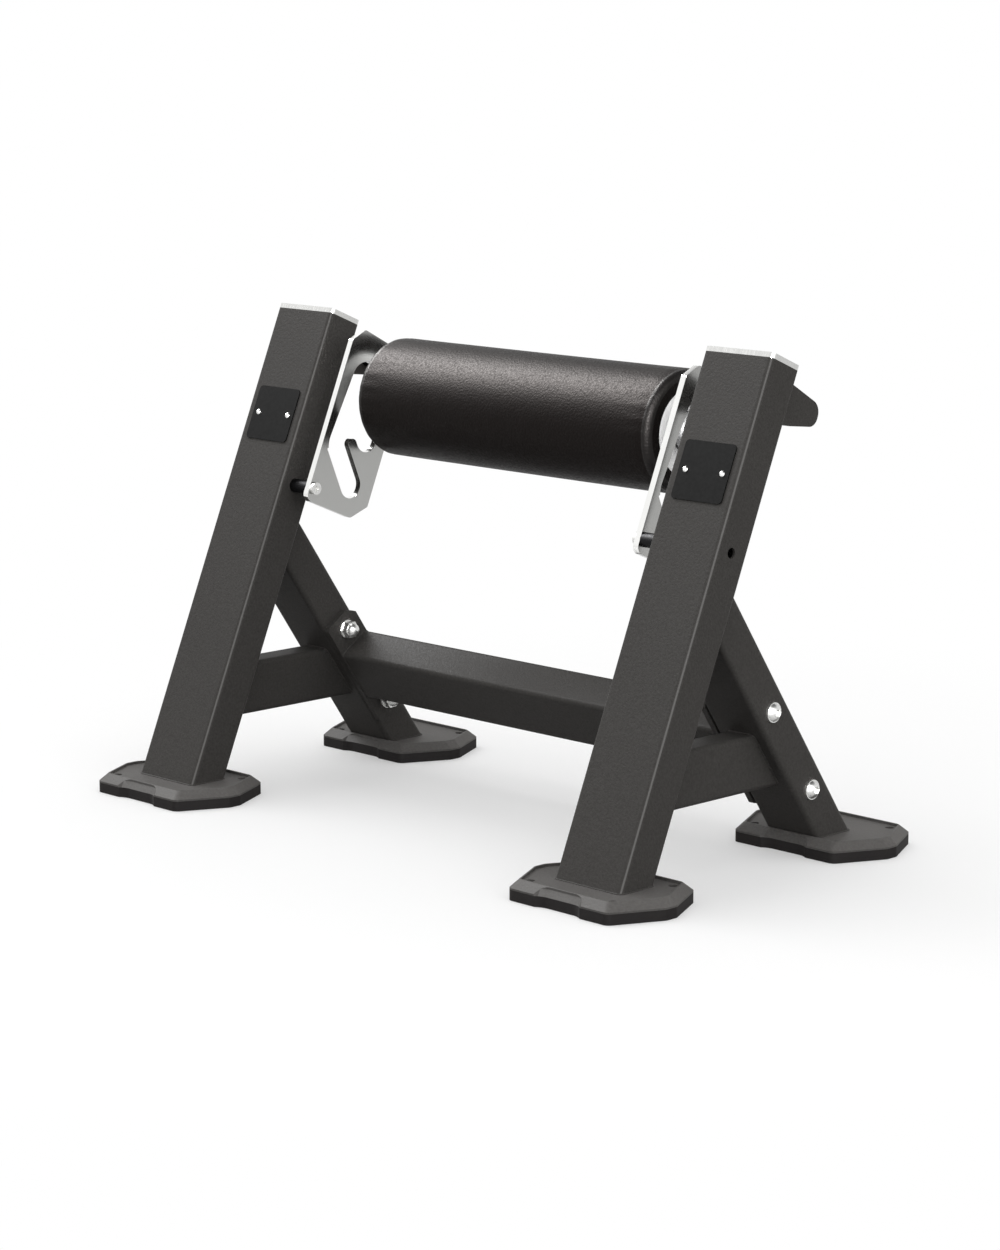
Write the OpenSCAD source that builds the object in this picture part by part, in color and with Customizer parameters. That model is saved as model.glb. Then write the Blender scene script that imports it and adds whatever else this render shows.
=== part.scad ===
// Bulgarian split squat bench: two leaning legs, two rear braces, a bolted crossbar,
// and a padded roller whose axle hangs in a pair of slotted ladder plates.
// Frame of the model: +X to the right side, +Y to the rear, +Z up, millimetres.
// The origin lies on the floor, at the middle of the footprint. Left is -X.
// Most upright pieces are drawn in the leg's own plane: n runs back from the leg's
// front face, s runs up along that face from the top of the foot plate.

/* [Legs] */
// Gap between the roller's end and the inner side of a leg
side_room = 66; // [61:1:84]
// Width of the leg tube, across the bench
leg_w = 100; // [90:1:110]
// Depth of the leg tube, front to back
leg_d = 50; // [46:1:56]
// Length of the leg's front face
leg_len = 607; // [560:1:640]
// Backward lean of the legs, degrees from upright
leg_lean = 22.8; // [20:0.1:25]
// Wall of all the steel tubes
wall = 3; // [2.5:0.5:4]

/* [Rear braces] */
// Width of the brace tube, across the bench
brace_w = 75; // [60:1:80]
// Depth of the brace tube, front to back
brace_d = 50; // [46:1:54]
// Forward lean of the braces, degrees from upright
brace_lean = 34.5; // [32:0.1:36]
// Distance up the leg's rear face to the top of the brace
brace_join = 338; // [325:1:350]
// Width of the low side tube between leg and brace
side_tube_w = 40; // [30:1:60]
// Height of the low side tube
side_tube_h = 65; // [50:1:70]
// Height of the underside of the side tube above the foot plates
side_tube_z = 67; // [60:1:75]

/* [Crossbar] */
// Distance along the brace to the middle of the crossbar
crossbar_s = 116; // [110:1:125]
// Height of the crossbar section along the brace
crossbar_h = 75; // [60:1:80]
// Distance between the two bolts of one end flange
flange_bolts = 121; // [116:1:126]
// Length of an end flange along the brace
flange_len = 160; // [154:1:170]

/* [Feet] */
// Half width of a rubber foot at its side points
foot_x = 104; // [96:1:112]
// Half depth of a rubber foot
foot_y = 69; // [66:1:74]
// Spacing of the anchor holes across the bench
anchor_x = 124; // [116:1:130]
// Spacing of the anchor holes front to back
anchor_y = 94; // [88:1:98]
// Diameter of an anchor hole
anchor_d = 10; // [8:0.5:11]

/* [Ladder plates] */
// Step between two axle pockets, along the leg
pocket_step = 61; // [59:1:66]
// Width of the slots that the axle runs in
slot_w = 32.5; // [31.5:0.5:33]
// Forward shift from one axle pocket to the next one down
pocket_drift = 4; // [3:0.5:5]
// Thickness of a ladder plate
ladder_t = 8; // [6:0.5:9]
// Gap between the leg and its ladder plate
ladder_gap = 28; // [26:1:30]

/* [Roller] */
// Outer diameter of the padded roller
roller_d = 145; // [130:1:150]
// Length of the padded roller
roller_len = 484; // [430:1:490]
// Diameter of the axle
axle_d = 30; // [28:0.5:30]

/* [Hidden] */
$fn = 64;

// Overshoot of every cutter past the face that it cuts.
eps = 1;
// Rounds are this much fuller than the lines that run into them, so that arc and line meet in a clean corner.
hair = 0.02;
// Longer than any piece: size of the blocks that trim tubes along a plane.
far = 1500;

// Feet: a rubber sole under a coated plate, whose recessed top is the height zero of the frame work.
pad_floor = 12;
plate_t = 8;
foot_top = pad_floor + plate_t;
rim_rise = 3;
rim_w = 2;
bevel_w = 10;
foot_edge = 2;
foot_corner_x = 0.71 * foot_x;
foot_tip = 8;
foot_round = 9;
recess_round = 4;
waist_x = 19;
waist_depth = 5;
waist_lean = 4.5;
waist_round = 24;
front_foot_y = 23;

// Leg section and the rounding of the drawn tubes. The legs stand apart by the roller and its side rooms.
leg_spacing = roller_len + 2 * side_room + leg_w;
tube_r = 6;
cap_t = 6;
cap_spigot = 12;
spigot_play = 0.5;

// Brace: the point where its rear face meets the leg's rear face, then its front face at the foot.
join_y = leg_d / cos(leg_lean) + brace_join * sin(leg_lean);
join_z = brace_join * cos(leg_lean);
brace_back_y = join_y + join_z * tan(brace_lean);
brace_front_y = brace_back_y - brace_d / cos(brace_lean);
rear_foot_y = brace_back_y - 6.5;
mid_y = (front_foot_y + rear_foot_y) / 2;

// Crossbar ends: flange against the inner side of the brace.
flange_t = 8;
flange_x = leg_spacing / 2 - brace_w / 2 - flange_t;
bolt_r = 6;
bolt_play = 0.5;
head_r = 10.5;
head_h = 6.5;
washer_r = 11.5;
washer_t = 2.5;
nut_af = 19;
nut_h = 10;

// Ladder plate in the leg's plane. The axle's seat is the top one of three.
leg_inner_x = leg_spacing / 2 - leg_w / 2;
ladder_x = leg_inner_x - ladder_gap - ladder_t;
slot_r = slot_w / 2;
slot_angle = 45;
seat_back = 86.4;
seat_drop = 73.6;
seat_s = leg_len - seat_drop;
seats = 3;
ladder_front = 14.5;
ladder_rear = 116;
ladder_reach = 160;
ladder_drop = 9.5;
ladder_low = seat_s - ladder_reach;
ladder_top = leg_len - ladder_drop;
ladder_cut = [22.5, 21];
ladder_fall = 7.5;
ladder_nose = [16, 18];
ladder_rounds = [10, 8, 3, 12, 5, 3];
window_rise = 29;
window_reach = 95;
window_top = seat_s + window_rise;
window_front = 22.5;
window_flare = 0.086;
window_low = seat_s - window_reach;
window_round = 32;
head_round = 22;
channel_w = 31.5;
slot_half = slot_r - hair;
finger_half = (pocket_drift * cos(slot_angle) + pocket_step * sin(slot_angle)) / 2 - slot_half;

// Fixings of the ladder plate: low one to the leg, high one to the rear arm.
low_inset = [8, 17];
high_inset = [19.5, 21];
low_bolt = [ladder_front, ladder_low] + low_inset;
high_bolt = [ladder_rear, ladder_top] - high_inset;
ladder_bolt_r = 5;
ladder_head_r = 7.5;
ladder_head_h = 4.5;
ladder_nut_af = 16;
ladder_nut_h = 8;
spacer_r = 8.5;
access_r = 6;

// Rear arm: a tapered box welded across the back of the leg.
arm_setback = 20;
arm_w = leg_w - 2 * arm_setback;
arm_wall = 4;
arm_inner_x = leg_inner_x + arm_setback;
arm_drop = 8;
arm_h = 47;
arm_top = leg_len - arm_drop;
arm_low = arm_top - arm_h;
arm_tip = 123.5;
arm_flat = 31;
arm_rise = 12.5;
arm_fall = 10;
arm_rounds = [13, 15];

// Badge plate on the front of the leg.
badge_w = 74;
badge_h = 68;
badge_t = 1.5;
badge_drop = 136;
badge_s = leg_len - badge_drop;
rivet_x = 27;
rivet_r = 3.5;

// Roller set. Every length is measured from the middle of the bench.
axle_r = axle_d / 2;
axle_wall = 4;
rest_gap = 0.3;
run_gap = 0.05;
roller_r = roller_d / 2;
half_len = roller_len / 2;
skin = 2;
rim_round = 5;
disc_r = 50;
disc_t = 4;
core_r = 30;
core_wall = 2.5;
hub_len = 26;
bush_r = axle_r + 5;
bush_flange_r = axle_r + 9;
bush_flange_t = 3;
collar_r = axle_r + 9;
inner_collar_w = 14;
outer_collar_w = 9;
side_play = 0.6;
collar_play = 1.5;
disc_depth = 8;
disc_x = half_len - disc_depth;
bush_x = disc_x + disc_t + bush_flange_t;
outer_collar_x = ladder_x + ladder_t + collar_play;
axle_half = outer_collar_x + outer_collar_w + 2;
screw_r = 3;
axle_drop = slot_r - axle_r - rest_gap;
axle_y = seat_back * cos(leg_lean) + seat_s * sin(leg_lean);
axle_z = foot_top - seat_back * sin(leg_lean) + seat_s * cos(leg_lean) - axle_drop;

// Unit vector from a to b.
function toward(a, b) = (b - a) / norm(b - a);
// Front edge of the ladder window at height s.
function window_edge(s) = window_front + window_flare * (s - window_low);
// Distance from point p along the slot's direction to the window's front edge.
function to_edge(p, short = 0) = (p[0] - short - window_edge(p[1])) / (sin(slot_angle) + window_flare * cos(slot_angle));
// Point at distance t from p along the slot's direction, up and to the front.
function along_slot(p, t) = p + t * [-sin(slot_angle), cos(slot_angle)];
// Middle of the seat number k, counted from the top one down.
function seat(k) = [seat_back - k * pocket_drift, seat_s - k * pocket_step];
// Middle of the round tip of the hook above seat k, set back so that the channel keeps its width.
function finger_tip(k) = let (root = (seat(k) + seat(k - 1)) / 2)
    along_slot(root, to_edge(root, finger_half + channel_w));
// Middle of the round of radius r in the corner p between its neighbours a and b.
function round_middle(a, p, b, r) = let (u = toward(p, a), v = toward(p, b))
    p + (u + v) / norm(u + v) * r / sin(acos(u * v) / 2);

// Whole bench: shifts the frame work so that the footprint is centred.
module place() {
    translate([0, -mid_y, 0]) children();
}

// Leg's plane: local Y is n, local Z is s. Side is -1 for left, 1 for right.
module at_leg(side) {
    place() translate([side * leg_spacing / 2, 0, foot_top]) rotate([-leg_lean, 0, 0]) children();
}

// The same plane seen as a flat drawing (n, s), extruded across the bench from x0 by a width.
module leg_sheet(side, x0, width) {
    place() translate([0, 0, foot_top]) rotate([-leg_lean, 0, 0])
        mirror([side < 0 ? 1 : 0, 0, 0]) translate([x0, 0, 0]) rotate([90, 0, 90]) linear_extrude(width) children();
}

// A round piece across the bench, centred on the point p of the leg's plane.
module leg_rod(side, p, x0, length, r) {
    leg_sheet(side, x0, length) translate(p) circle(r);
}

// Brace's plane: local Y is the depth behind the brace's front face, local Z runs up the brace.
module at_brace(side) {
    place() translate([side * leg_spacing / 2, brace_front_y, foot_top]) rotate([brace_lean, 0, 0]) children();
}

// Cylinder along +X from x = 0.
module x_rod(r, length) {
    rotate([0, 90, 0]) cylinder(r = r, h = length);
}

// Rectangle with round corners, centred.
module round_rect(w, d, r) {
    square([w - 2 * r, d], center = true);
    square([w, d - 2 * r], center = true);
    for (sx = [-1, 1], sy = [-1, 1]) {
        translate([sx * (w / 2 - r), sy * (d / 2 - r)]) circle(r);
    }
}

// Section of a hollow rectangular tube with round corners.
module tube_section(w, d) {
    difference() {
        round_rect(w, d, tube_r);
        round_rect(w - 2 * wall, d - 2 * wall, tube_r - wall + 0.5);
    }
}

// The sliver outside a round of radius r in the corner p between its neighbours a and b.
module corner_waste(a, p, b, r) {
    u = toward(p, a);
    v = toward(p, b);
    centre = round_middle(a, p, b, r);
    reach = r / tan(acos(u * v) / 2);
    difference() {
        polygon([p - (centre - p) / norm(centre - p) * hair / 2, p + u * reach, centre, p + v * reach]);
        translate(centre) circle(r + hair);
    }
}

// Polygon whose outer corners are rounded with the radii in list r.
module rounded_polygon(pts, r) {
    count = len(pts);
    difference() {
        polygon(pts);
        for (i = [0:count - 1]) {
            if (r[i] > 0) {
                corner_waste(pts[(i + count - 1) % count], pts[i], pts[(i + 1) % count], r[i]);
            }
        }
    }
}

// Six-sided prism along +Z, given the width across its flats.
module hex_prism(af, h) {
    linear_extrude(h) polygon([for (i = [0:5]) af / sqrt(3) * [cos(60 * i), sin(60 * i)]]);
}

// Everything under the top of the foot plates.
module below_plates() {
    translate([-far / 2, -far / 2, foot_top - far]) cube(far);
}

// Everything in front of the leg's rear face.
module before_leg_back(side) {
    at_leg(side) translate([-far / 2, leg_d - far, -far / 2]) cube(far);
}

// Everything behind the brace's front face.
module behind_brace_front(side) {
    at_brace(side) translate([-far / 2, 0, -far / 2]) cube(far);
}

// Leg: leaning rectangular tube, square cut at the top, level cut at the foot plate.
module leg(side) {
    difference() {
        at_leg(side) translate([0, leg_d / 2, -leg_d]) linear_extrude(leg_len + leg_d) tube_section(leg_w, leg_d);
        below_plates();
        leg_rod(side, low_bolt, leg_inner_x - eps, wall + 2 * eps, ladder_bolt_r + bolt_play);
        leg_rod(side, low_bolt, leg_inner_x + leg_w - wall - eps, wall + 2 * eps, access_r);
        at_leg(side) for (sx = [-1, 1]) {
            translate([sx * rivet_x, -eps, badge_s]) rotate([-90, 0, 0]) cylinder(r = rivet_r / 2, h = wall + 2 * eps);
        }
    }
}

// Brace: tube that leans forward and is mitred to the leg's rear face.
module brace(side) {
    difference() {
        at_brace(side) translate([0, brace_d / 2, -brace_d]) linear_extrude(far / 2) tube_section(brace_w, brace_d);
        below_plates();
        before_leg_back(side);
        at_brace(side) for (k = [-1, 1]) {
            translate([-brace_w, brace_d / 2, crossbar_s + k * flange_bolts / 2]) x_rod(bolt_r + bolt_play, 2 * brace_w);
        }
    }
}

// Side tube: level tube between the leg's rear face and the brace's front face.
module side_tube(side) {
    difference() {
        place() translate([side * leg_spacing / 2, 0, foot_top + side_tube_z + side_tube_h / 2])
            rotate([-90, 0, 0]) linear_extrude(far / 2) tube_section(side_tube_w, side_tube_h);
        before_leg_back(side);
        behind_brace_front(side);
    }
}

// Corners of a foot, moved inward by a distance. It comes to a blunt point at each side.
function foot_corners(inset) = let (x1 = foot_corner_x - 0.6 * inset, x2 = foot_x - inset, y = foot_y - inset)
    [[-x1, -y], [x1, -y], [x2, -foot_tip], [x2, foot_tip], [x1, y], [-x1, y], [-x2, foot_tip], [-x2, -foot_tip]];

// Outline of a foot, moved inward by a distance, with corners of radius r.
module foot_outline(inset, r) {
    rounded_polygon(foot_corners(inset), [for (i = [0:7]) r]);
}

// One level of the bevelled foot plate: short pillars in its round corners, to be hulled.
module foot_level(inset, z, h) {
    pts = foot_corners(inset);
    for (i = [0:7]) {
        translate(concat(round_middle(pts[(i + 7) % 8], pts[i], pts[(i + 1) % 8], foot_round), z))
            cylinder(r = foot_round, h = h, $fn = 32);
    }
}

// Height line of the round ends of a foot's waist, moved inward by a distance.
function waist_y(inset) = foot_y - waist_depth - inset + waist_round;

// Shallow waist with round ends in the front and rear edge of a rubber sole.
module sole_waists() {
    for (turn = [0, 180]) {
        rotate(turn) {
            translate([-waist_x, waist_y(0) - waist_round + hair]) square([2 * waist_x, waist_round]);
            for (sx = [-1, 1]) {
                translate([sx * waist_x, waist_y(0)]) circle(waist_round);
            }
        }
    }
}

// One level of the waist of the bevelled foot plate, to be hulled.
module waist_level(inset, z, h) {
    for (sx = [-1, 1]) {
        translate([sx * waist_x, waist_y(inset), z]) cylinder(r = waist_round, h = h, $fn = 48);
    }
}

// Middle of a foot on the floor. End is -1 for the front feet, 1 for the rear feet.
module at_foot(side, end) {
    place() translate([side * leg_spacing / 2, end < 0 ? front_foot_y : rear_foot_y, 0]) children();
}

// The four anchor holes of a foot.
module anchor_holes(r) {
    for (sx = [-1, 1], sy = [-1, 1]) {
        translate([sx * anchor_x / 2, sy * anchor_y / 2, -eps]) cylinder(r = r, h = foot_top + rim_rise + 2 * eps);
    }
}

// Rubber sole of a foot, with wide holes that clear the anchors.
module foot_pad(side, end) {
    at_foot(side, end) difference() {
        linear_extrude(pad_floor) foot_outline(0, foot_round);
        translate([0, 0, -eps]) linear_extrude(pad_floor + 2 * eps) sole_waists();
        anchor_holes(anchor_d / 2 + 1);
    }
}

// Coated foot plate on the sole: bevelled edge, low rim, and a recess where the leg or brace is welded.
module foot_plate(side, end) {
    at_foot(side, end) difference() {
        hull() {
            foot_level(0, pad_floor, foot_edge);
            foot_level(bevel_w, foot_top, rim_rise);
        }
        translate([0, 0, foot_top]) linear_extrude(far) foot_outline(bevel_w + rim_w, recess_round);
        for (turn = [0, 180]) {
            rotate(turn) hull() {
                waist_level(0, pad_floor - eps, foot_edge + eps);
                waist_level(waist_lean, foot_top, rim_rise + eps);
            }
        }
        anchor_holes(anchor_d / 2);
    }
}

// Bright cap plate on the leg's top end, with a spigot that fills the tube's mouth.
module top_cap(side) {
    at_leg(side) translate([0, leg_d / 2, leg_len]) {
        linear_extrude(cap_t) round_rect(leg_w, leg_d, tube_r);
        translate([0, 0, -cap_spigot]) linear_extrude(cap_spigot) difference() {
            round_rect(leg_w - 2 * wall - spigot_play, leg_d - 2 * wall - spigot_play, tube_r - wall + 0.5);
            square([leg_w - 6 * wall, leg_d - 6 * wall], center = true);
        }
    }
}

// Crossbar: tube turned to lie flush with both faces of the braces.
module crossbar() {
    place() translate([0, brace_front_y, foot_top]) rotate([brace_lean, 0, 0])
        translate([-flange_x, brace_d / 2, crossbar_s]) rotate([90, 0, 90])
        linear_extrude(2 * flange_x) tube_section(brace_d, crossbar_h);
}

// End flange of the crossbar, flat against the brace's inner face.
module crossbar_flange(side) {
    half = flange_len / 2;
    cut = 12;
    blunt = 4;
    at_brace(side) mirror([side < 0 ? 1 : 0, 0, 0]) translate([flange_x - leg_spacing / 2, 0, crossbar_s])
        rotate([90, 0, 90]) linear_extrude(flange_t) difference() {
            polygon([[blunt, -half], [brace_d - cut, -half], [brace_d, -half + cut], [brace_d, half - cut],
                [brace_d - cut, half], [blunt, half], [0, half - blunt], [0, -half + blunt]]);
            for (k = [-1, 1]) {
                translate([brace_d / 2, k * flange_bolts / 2]) circle(bolt_r + bolt_play);
            }
        }
}

// Axis of each crossbar bolt, pointing outward from the middle of the leg.
module at_crossbar_bolts() {
    for (side = [-1, 1], k = [-1, 1]) {
        at_brace(side) mirror([side < 0 ? 1 : 0, 0, 0])
            translate([0, brace_d / 2, crossbar_s + k * flange_bolts / 2]) children();
    }
}

// Domed bolts through brace and flange, with a socket in the head.
module crossbar_bolts() {
    dome_r = (head_r * head_r + head_h * head_h) / (2 * head_h);
    inner = -brace_w / 2 - flange_t - washer_t - nut_h + 2;
    at_crossbar_bolts() {
        translate([inner, 0, 0]) x_rod(bolt_r, brace_w / 2 + washer_t - inner);
        translate([brace_w / 2 + washer_t, 0, 0]) rotate([0, 90, 0]) difference() {
            rotate_extrude() intersection() {
                translate([0, head_h - dome_r]) circle(dome_r);
                square([head_r, head_h]);
            }
            translate([0, 0, head_h - 4]) hex_prism(8, head_h);
        }
    }
}

// Washers under the heads and under the nuts.
module crossbar_washers() {
    at_crossbar_bolts() for (x = [brace_w / 2, -brace_w / 2 - flange_t - washer_t]) {
        translate([x, 0, 0]) difference() {
            x_rod(washer_r, washer_t);
            translate([-eps, 0, 0]) x_rod(bolt_r, washer_t + 2 * eps);
        }
    }
}

// Domed cap nuts on the inner side of the flanges.
module crossbar_cap_nuts() {
    start = -brace_w / 2 - flange_t - washer_t;
    dome = nut_af / 2 - 1;
    at_crossbar_bolts() translate([start, 0, 0]) rotate([0, -90, 0]) difference() {
        union() {
            hex_prism(nut_af, nut_h - 1);
            translate([0, 0, nut_h - 1]) intersection() {
                sphere(dome);
                cylinder(r = dome, h = dome);
            }
        }
        translate([0, 0, -eps]) cylinder(r = bolt_r, h = nut_h - 2 + eps);
    }
}

// Side view of the rear arm, moved inward by a distance.
module arm_outline(inset) {
    low = arm_low + inset;
    tip = arm_tip - inset;
    rounded_polygon([[leg_d, low], [leg_d + arm_flat, low], [tip, low + arm_rise],
        [tip, arm_top - arm_fall - inset], [leg_d, arm_top - inset]],
        [0, 0, arm_rounds[0] - inset, arm_rounds[1] - inset, 0]);
}

// Rear arm: closed box arm welded to the leg's back, carries the top of the ladder plate.
module rear_arm(side) {
    difference() {
        leg_sheet(side, arm_inner_x, arm_w) arm_outline(0);
        leg_sheet(side, arm_inner_x + arm_wall, arm_w - 2 * arm_wall) arm_outline(arm_wall);
        leg_rod(side, high_bolt, arm_inner_x - eps, arm_wall + 2 * eps, ladder_bolt_r + bolt_play);
    }
}

// Slot of seat k: a round seat with a straight run up to the front channel.
module slot(k) {
    translate(seat(k)) {
        circle(slot_r);
        rotate(slot_angle) translate([-slot_half, 0]) square([2 * slot_half, to_edge(seat(k)) - slot_r]);
    }
}

// Hook above seat k: a bar between two slots with a round tip.
module finger(k) {
    translate(finger_tip(k)) {
        circle(finger_half + hair);
        rotate(slot_angle) translate([-finger_half, -2 * pocket_step]) square([2 * finger_half, 2 * pocket_step]);
    }
}

// The whole opening of a ladder plate: channel, three slots, and room to lift the axle over a hook.
module ladder_window() {
    low = seat(seats - 1);
    high = seat(0);
    side = slot_half * [cos(slot_angle), sin(slot_angle)];
    foot = low - side;
    corner = along_slot(foot, to_edge(foot));
    top = window_top - hair;
    back = [window_edge(top) + channel_w + finger_half, top];
    head_s = window_top - head_round;
    head_n = window_edge(head_s) + (head_round - hair) * norm([1, window_flare]);
    head = [window_edge(head_s + window_flare * head_round), head_s + window_flare * head_round];
    difference() {
        union() {
            difference() {
                polygon([corner, foot, low, finger_tip(seats - 1), back, [head_n, top], [head_n, head_s], head]);
                corner_waste(head, corner, foot, window_round);
            }
            polygon([finger_tip(1), high - side, high, [seat_back, top], back]);
            translate([head_n, head_s]) circle(head_round);
            translate(high) {
                circle(slot_r);
                square([slot_half, window_top - slot_r - seat_s]);
            }
            translate([seat_back, window_top - slot_r]) circle(slot_r);
            for (k = [1:seats - 1]) {
                slot(k);
                translate(finger_tip(k)) rotate(slot_angle)
                    translate([-finger_half - 1, 0]) square([2 * finger_half + 2, finger_half]);
            }
        }
        for (k = [1:seats - 1]) {
            finger(k);
        }
    }
}

// Ladder plate: bright steel plate with the hooked opening, standing off the leg.
module ladder_plate(side) {
    leg_sheet(side, ladder_x, ladder_t) difference() {
        rounded_polygon([[ladder_front, ladder_low], [ladder_rear - ladder_cut[0], ladder_low],
            [ladder_rear, ladder_low + ladder_cut[1]], [ladder_rear, ladder_top - ladder_fall],
            [ladder_front + ladder_nose[0], ladder_top], [ladder_front, ladder_top - ladder_nose[1]]], ladder_rounds);
        ladder_window();
        translate(low_bolt) circle(ladder_bolt_r + bolt_play);
        translate(high_bolt) circle(ladder_bolt_r + bolt_play);
    }
}

// Black spacer tubes between ladder plate and leg, and between ladder plate and rear arm.
module ladder_spacers() {
    from = ladder_x + ladder_t;
    for (side = [-1, 1]) {
        difference() {
            leg_rod(side, low_bolt, from, leg_inner_x - from, spacer_r);
            leg_rod(side, low_bolt, from - eps, leg_inner_x - from + 2 * eps, ladder_bolt_r + bolt_play);
        }
        difference() {
            leg_rod(side, high_bolt, from, arm_inner_x - from, spacer_r);
            leg_rod(side, high_bolt, from - eps, arm_inner_x - from + 2 * eps, ladder_bolt_r + bolt_play);
        }
    }
}

// Low-headed bolts that hold the ladder plates.
module ladder_bolts() {
    for (side = [-1, 1], p = [[low_bolt, leg_inner_x + wall], [high_bolt, arm_inner_x + arm_wall]]) {
        difference() {
            leg_rod(side, p[0], ladder_x - ladder_head_h, ladder_head_h, ladder_head_r);
            leg_sheet(side, ladder_x - ladder_head_h - eps, 3 + eps) translate(p[0])
                polygon([for (i = [0:5]) 3.5 * [cos(60 * i), sin(60 * i)]]);
        }
        leg_rod(side, p[0], ladder_x, p[1] + ladder_nut_h + 2 - ladder_x, ladder_bolt_r);
    }
}

// Nuts inside the leg and inside the rear arm.
module ladder_nuts() {
    for (side = [-1, 1], p = [[low_bolt, leg_inner_x + wall], [high_bolt, arm_inner_x + arm_wall]]) {
        leg_sheet(side, p[1], ladder_nut_h) translate(p[0]) difference() {
            polygon([for (i = [0:5]) ladder_nut_af / sqrt(3) * [cos(60 * i), sin(60 * i)]]);
            circle(ladder_bolt_r);
        }
    }
}

// Badge plate, left bare.
module badge_plate(side) {
    at_leg(side) translate([0, 0, badge_s]) rotate([90, 0, 0]) linear_extrude(badge_t) difference() {
        round_rect(badge_w, badge_h, 5);
        for (sx = [-1, 1]) {
            translate([sx * rivet_x, 0]) circle(rivet_r / 2);
        }
    }
}

// Domed rivets of the badge plates.
module badge_rivets() {
    for (side = [-1, 1], sx = [-1, 1]) {
        at_leg(side) translate([sx * rivet_x, -badge_t, badge_s]) {
            rotate([90, 0, 0]) intersection() {
                translate([0, 0, -1.5]) sphere(norm([rivet_r, 1.5]));
                cylinder(r = rivet_r, h = rivet_r);
            }
            rotate([-90, 0, 0]) cylinder(r = rivet_r / 2, h = badge_t + wall);
        }
    }
}

// Axis of the axle, along +X.
module at_axle() {
    place() translate([0, axle_y, axle_z]) children();
}

// A ring on the axle's axis, mirrored to both ends.
module ring_pair(x0, width, r_in, r_out) {
    for (side = [0, 1]) {
        at_axle() mirror([side, 0, 0]) translate([x0, 0, 0]) ring(width, r_in, r_out);
    }
}

// A plain ring along +X.
module ring(width, r_in, r_out) {
    rotate([0, 90, 0]) linear_extrude(width) difference() {
        circle(r_out);
        circle(r_in);
    }
}

// Axle: thick tube that lies in the top seats of both ladder plates.
module axle() {
    at_axle() translate([-axle_half, 0, 0]) ring(2 * axle_half, axle_r - axle_wall, axle_r);
}

// Plugs that close the ends of the axle.
module axle_end_plugs() {
    for (side = [0, 1]) {
        at_axle() mirror([side, 0, 0]) {
            translate([axle_half, 0, 0]) x_rod(axle_r - 1, 2);
            translate([axle_half - 10, 0, 0]) x_rod(axle_r - axle_wall, 10);
        }
    }
}

// Radial holes or screws in the collars, pointing up.
module collar_bores(x0, width, r, top) {
    for (side = [0, 1]) {
        at_axle() mirror([side, 0, 0]) translate([x0 + width / 2, 0, axle_r]) cylinder(r = r, h = top - axle_r);
    }
}

// Collars outside the ladder plates, which keep the axle from sliding sideways.
module axle_outer_collars() {
    difference() {
        ring_pair(outer_collar_x, outer_collar_w, axle_r, collar_r - 2);
        collar_bores(outer_collar_x, outer_collar_w, screw_r, collar_r + eps);
    }
}

// Collars beside the roller, which keep it in the middle of the axle.
module axle_inner_collars() {
    difference() {
        ring_pair(bush_x + side_play, inner_collar_w, axle_r, collar_r);
        collar_bores(bush_x + side_play, inner_collar_w, screw_r, collar_r + eps);
    }
}

// Set screws in the collars.
module collar_screws() {
    collar_bores(outer_collar_x, outer_collar_w, screw_r, collar_r - 3);
    collar_bores(bush_x + side_play, inner_collar_w, screw_r, collar_r - 1);
}

// Flanged plastic bush between the end disc's hub and the axle.
module roller_bush(side) {
    at_axle() mirror([side < 0 ? 1 : 0, 0, 0]) {
        translate([disc_x + disc_t, 0, 0]) ring(bush_flange_t, axle_r + run_gap, bush_flange_r);
        translate([disc_x - hub_len, 0, 0]) ring(disc_t + hub_len, axle_r + run_gap, bush_r);
    }
}

// Bright end disc of the roller, with a hub that fits inside the core tube.
module roller_end_disc(side) {
    at_axle() mirror([side < 0 ? 1 : 0, 0, 0]) {
        translate([disc_x, 0, 0]) ring(disc_t, bush_r, disc_r);
        translate([disc_x - hub_len, 0, 0]) ring(hub_len, bush_r, core_r - core_wall);
    }
}

// Steel core tube of the roller.
module roller_core_tube() {
    at_axle() translate([-disc_x, 0, 0]) ring(2 * disc_x, core_r - core_wall, core_r);
}

// Half section of a padded cylinder with round rims, from the inner radius outward.
module pad_section(half, r_in, r_out, round) {
    translate([r_in, -half]) square([r_out - round - r_in, 2 * half]);
    translate([r_in, -half + round]) square([r_out - r_in, 2 * half - 2 * round]);
    for (k = [-1, 1]) {
        translate([r_out - round, k * (half - round)]) circle(round);
    }
}

// Foam sleeve on the core tube, with a pocket for the disc in each end.
module roller_foam() {
    at_axle() rotate([0, 90, 0]) rotate_extrude($fn = 96) difference() {
        pad_section(half_len - skin, core_r, roller_r - skin, rim_round - skin);
        for (end = [-1, 1]) {
            translate([0, end * (disc_x + half_len / 2) - half_len / 2]) square([disc_r + 1, half_len]);
        }
    }
}

// Grained cover round the foam, turned in over both ends.
module roller_cover() {
    at_axle() rotate([0, 90, 0]) rotate_extrude($fn = 96) difference() {
        pad_section(half_len, disc_r + 1, roller_r, rim_round);
        pad_section(half_len - skin, disc_r, roller_r - skin, rim_round - skin);
    }
}

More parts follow.
